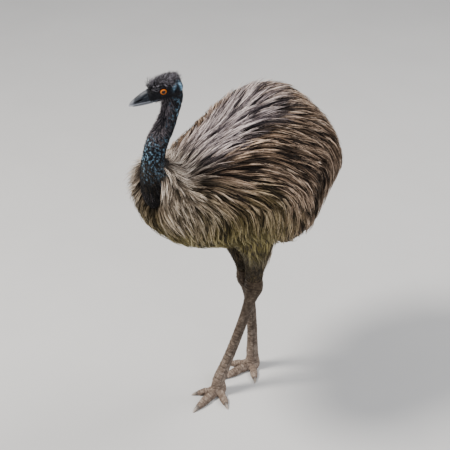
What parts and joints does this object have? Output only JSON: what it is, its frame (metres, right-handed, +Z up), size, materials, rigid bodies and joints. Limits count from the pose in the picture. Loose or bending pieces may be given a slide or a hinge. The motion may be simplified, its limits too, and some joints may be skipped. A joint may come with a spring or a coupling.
{
  "type": "emu",
  "caption": "Life-size still model of a standing emu, with shaggy hanging plumage, a bare-skinned upright neck and scaly walking legs.",
  "frame": {"origin": "on the floor under the middle of the bird's box", "axes": "+Z up, -Y the way the bird faces, +X the bird's left"},
  "size_m": [0.4863, 0.7755, 1.2945],
  "materials": {
    "plumage": "long lax feathers in cream, brown and near-black streaks",
    "neck_plumage": "thin black hair-like feathers over blue-grey skin",
    "head_skin": "black bristle feathers and pale blue bare skin",
    "bill": "dark slate horn with a soft shine",
    "eye": "orange iris round a black pupil, wet",
    "leg_plumage": "short olive-brown feathers",
    "leg_scales": "grey-brown scaly skin with raised scutes",
    "claw": "dark horn with pale worn tips"
  },
  "bodies": {
    "root": {"torso": "plumage", "tail": "plumage", "neck_lower": "neck_plumage", "neck_upper": "neck_plumage", "head": "head_skin", "bill_upper": "bill", "bill_lower": "bill", "eye_L": "eye", "eye_R": "eye", "leg_drumstick_L": "leg_plumage", "leg_shank_L": "leg_scales", "foot_L": "leg_scales", "claw_inner_L": "claw", "claw_middle_L": "claw", "claw_outer_L": "claw", "leg_drumstick_R": "leg_plumage", "leg_shank_R": "leg_scales", "foot_R": "leg_scales", "claw_inner_R": "claw", "claw_middle_R": "claw", "claw_outer_R": "claw"}
  },
  "joints": []
}
